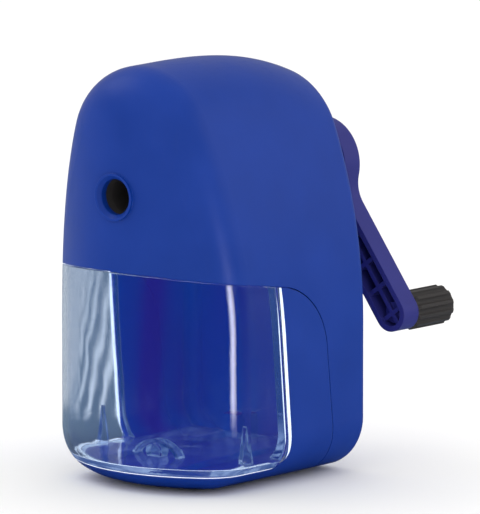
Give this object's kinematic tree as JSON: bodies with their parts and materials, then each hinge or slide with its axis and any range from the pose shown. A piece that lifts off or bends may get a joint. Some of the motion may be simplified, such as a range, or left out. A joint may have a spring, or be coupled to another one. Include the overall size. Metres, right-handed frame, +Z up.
{
  "type": "crank pencil sharpener",
  "caption": "Desk pencil sharpener with an arched body, a clear wrap-round shavings drawer, a rear hand crank with a fluted knob, and a self-feeding helical cutter.",
  "frame": {"origin": "on the desk, under the middle of the body's depth and on its mid-plane", "axes": "+Z up, -Y towards the pencil hole in the front, +X to the right seen from the front"},
  "size_m": [0.0637, 0.1026, 0.112],
  "materials": {
    "body_plastic": "satin moulded ABS, deep blue",
    "clear_plastic": "clear polystyrene, polished",
    "dark_plastic": "moulded, near black",
    "crank_plastic": "satin moulded ABS, blue",
    "gear_plastic": "natural acetal",
    "bearing_plastic": "natural nylon",
    "cast_metal": "zinc alloy die casting",
    "cutter_steel": "ground and hardened steel",
    "bright_steel": "zinc plated",
    "soft_rubber": "moulded rubber"
  },
  "bodies": {
    "housing": {"upper_housing": "body_plastic", "rear_cover": "body_plastic", "base_frame": "body_plastic", "pencil_guide": "dark_plastic", "rear_bush": "bearing_plastic", "ring_gear": "gear_plastic", "rubber_pad": "soft_rubber", "gear_screws": "bright_steel", "cover_screws": "bright_steel", "base_screws": "bright_steel", "guide_screws": "bright_steel"},
    "drawer": {"shavings_drawer": "clear_plastic"},
    "rotor": {"cutter_carrier": "cast_metal", "cutter_axle": "bright_steel", "feed_head": "cast_metal", "feed_cover": "gear_plastic", "feed_arm_pins": "bright_steel", "feed_springs": "bright_steel", "crank_shaft": "bright_steel", "thrust_washer": "bearing_plastic", "crank_arm": "crank_plastic", "crank_screw": "bright_steel", "knob_pin": "bright_steel", "carrier_screws": "bright_steel", "feed_screws": "bright_steel"},
    "cutter": {"helical_cutter": "cutter_steel", "cutter_pinion": "cutter_steel"},
    "knob": {"crank_knob": "dark_plastic"},
    "feed_arm_1": {"feed_arm_1": "gear_plastic", "roller_axle_1": "bright_steel"},
    "feed_roller_1": {"feed_roller_1": "soft_rubber"},
    "feed_arm_2": {"feed_arm_2": "gear_plastic", "roller_axle_2": "bright_steel"},
    "feed_roller_2": {"feed_roller_2": "soft_rubber"},
    "feed_arm_3": {"feed_arm_3": "gear_plastic", "roller_axle_3": "bright_steel"},
    "feed_roller_3": {"feed_roller_3": "soft_rubber"}
  },
  "joints": [
    {"name": "crank_spin", "type": "hinge", "parent": "housing", "child": "rotor", "pos_m": [0, 0.04, 0.0785], "axis": [0, 1, 0], "continuous": true},
    {"name": "knob_spin", "type": "hinge", "parent": "rotor", "child": "knob", "pos_m": [0.02763, 0.058, 0.04048], "axis": [0, 1, 0], "continuous": true},
    {"name": "cutter_spin", "type": "hinge", "parent": "rotor", "child": "cutter", "pos_m": [0, 0.052, 0.0785], "axis": [0, 0.9848, 0.1736], "continuous": true},
    {"name": "drawer_slide", "type": "slide", "parent": "housing", "child": "drawer", "axis": [0, -1, 0], "range_m": [0, 0.062]},
    {"name": "feed_arm_1_swing", "type": "hinge", "parent": "rotor", "child": "feed_arm_1", "pos_m": [0, -0.0158, 0.091], "axis": [0, 1, 0], "range_deg": [0, 8]},
    {"name": "feed_arm_2_swing", "type": "hinge", "parent": "rotor", "child": "feed_arm_2", "pos_m": [-0.01082, -0.0158, 0.07225], "axis": [0, 1, 0], "range_deg": [0, 8]},
    {"name": "feed_arm_3_swing", "type": "hinge", "parent": "rotor", "child": "feed_arm_3", "pos_m": [0.01082, -0.0158, 0.07225], "axis": [0, 1, 0], "range_deg": [0, 8]},
    {"name": "feed_roller_1_spin", "type": "hinge", "parent": "feed_arm_1", "child": "feed_roller_1", "pos_m": [-0.00471, -0.0158, 0.0818], "axis": [-0.1581, 0.9613, -0.2258], "continuous": true},
    {"name": "feed_roller_2_spin", "type": "hinge", "parent": "feed_arm_2", "child": "feed_roller_2", "pos_m": [-0.0005, -0.0158, 0.07277], "axis": [0.2746, 0.9613, -0.024], "continuous": true},
    {"name": "feed_roller_3_spin", "type": "hinge", "parent": "feed_arm_3", "child": "feed_roller_3", "pos_m": [0.00521, -0.0158, 0.08093], "axis": [-0.1165, 0.9613, 0.2498], "continuous": true}
  ],
  "couplings": [
    {"joint": "cutter_spin", "follows": "crank_spin", "ratio": -3},
    {"joint": "feed_arm_2_swing", "follows": "feed_arm_1_swing", "ratio": 1},
    {"joint": "feed_arm_3_swing", "follows": "feed_arm_1_swing", "ratio": 1}
  ]
}
